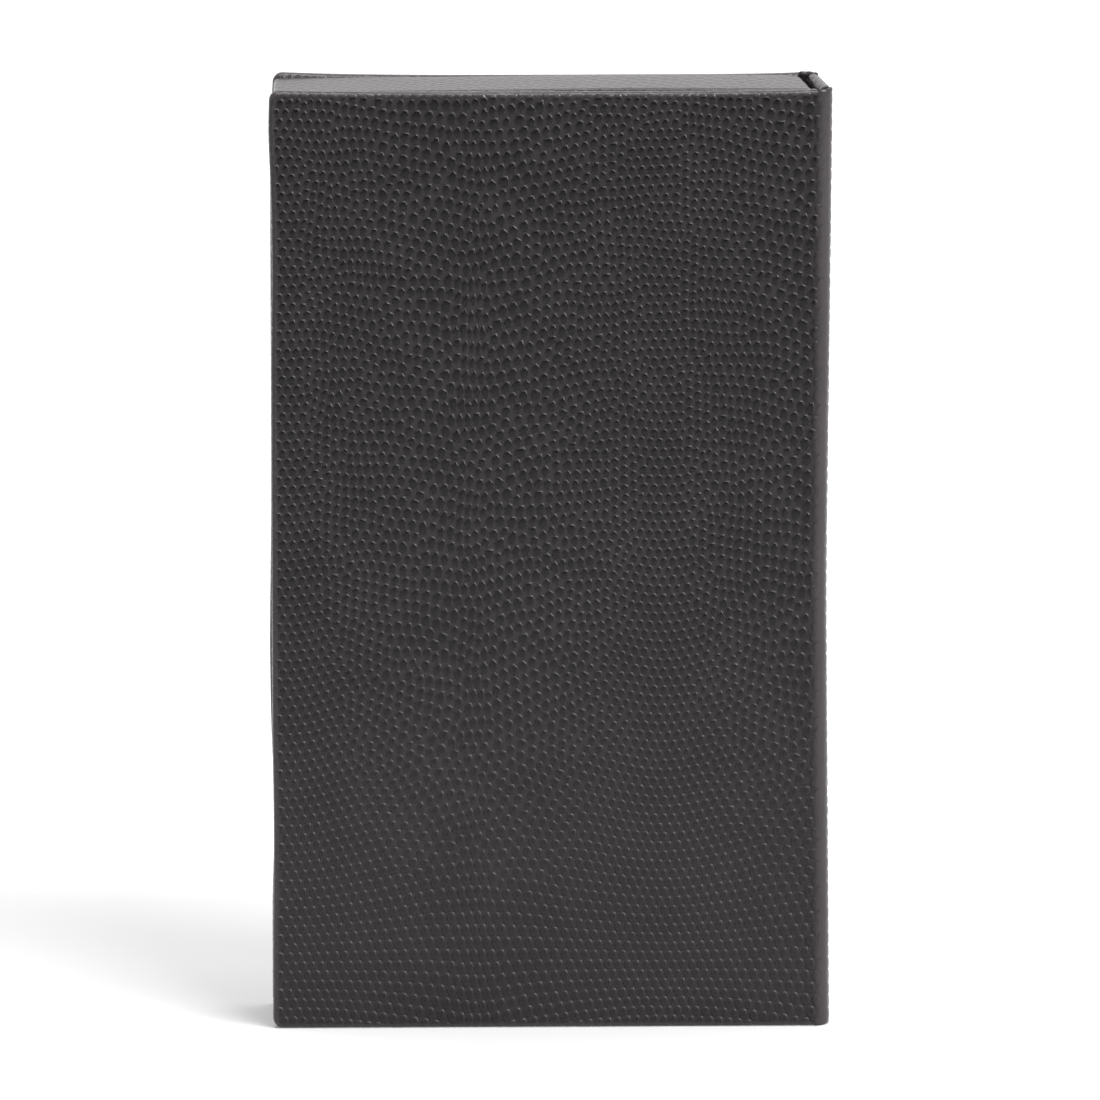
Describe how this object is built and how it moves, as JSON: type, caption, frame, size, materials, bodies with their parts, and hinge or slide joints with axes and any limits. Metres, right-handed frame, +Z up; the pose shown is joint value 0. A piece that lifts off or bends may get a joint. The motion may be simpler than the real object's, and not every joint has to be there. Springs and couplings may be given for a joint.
{
  "type": "guest check presenter box",
  "caption": "Book-style guest check presenter box in scale-embossed black leatherette: hinged lid and spine over a shallow tray for the bill, notes and a card.",
  "frame": {"origin": "middle of the footprint of the closed box, on the surface that it stands on", "axes": "+Z up from the tail edge to the head edge, the lid faces -Y, the spine is at +X, the fore edge at -X"},
  "size_m": [0.116, 0.0216, 0.2],
  "materials": {
    "cover_leather": "matte leatherette embossed with small lizard scales",
    "lining": "matte black book cloth",
    "pad_suede": "short-nap black suede",
    "greyboard": "plain grey bookbinder's board",
    "infill_card": "plain card",
    "magnet_nickel": "nickel-plated block magnet",
    "strip_steel": "thin mild steel strip"
  },
  "bodies": {
    "base": {"back_board": "greyboard", "back_cover_leather": "cover_leather", "back_infill_card": "infill_card", "back_hinge_leather": "cover_leather", "back_hinge_lining": "lining", "tray_floor_board": "greyboard", "tray_head_wall": "greyboard", "tray_tail_wall": "greyboard", "tray_fore_wall": "greyboard", "tray_spine_wall": "greyboard", "tray_leather": "cover_leather", "tray_floor_pad": "pad_suede", "tray_magnets": "magnet_nickel"},
    "spine": {"spine_board": "greyboard", "spine_leather": "cover_leather", "spine_lining": "lining", "front_hinge_leather": "cover_leather", "front_hinge_lining": "lining"},
    "lid": {"lid_board": "greyboard", "lid_cover_leather": "cover_leather", "lid_lining": "lining", "lid_steel_strips": "strip_steel"}
  },
  "joints": [
    {"name": "spine_fold", "type": "hinge", "parent": "base", "child": "spine", "pos_m": [0.05453, 0.00997, 0], "axis": [0, 0, 1], "range_deg": [0, 81], "deforming": ["back_hinge_leather", "back_hinge_lining"]},
    {"name": "lid_open", "type": "hinge", "parent": "spine", "child": "lid", "pos_m": [0.05752, -0.00983, 0], "axis": [0, 0, 1], "range_deg": [0, 99], "deforming": ["front_hinge_leather", "front_hinge_lining"]}
  ]
}
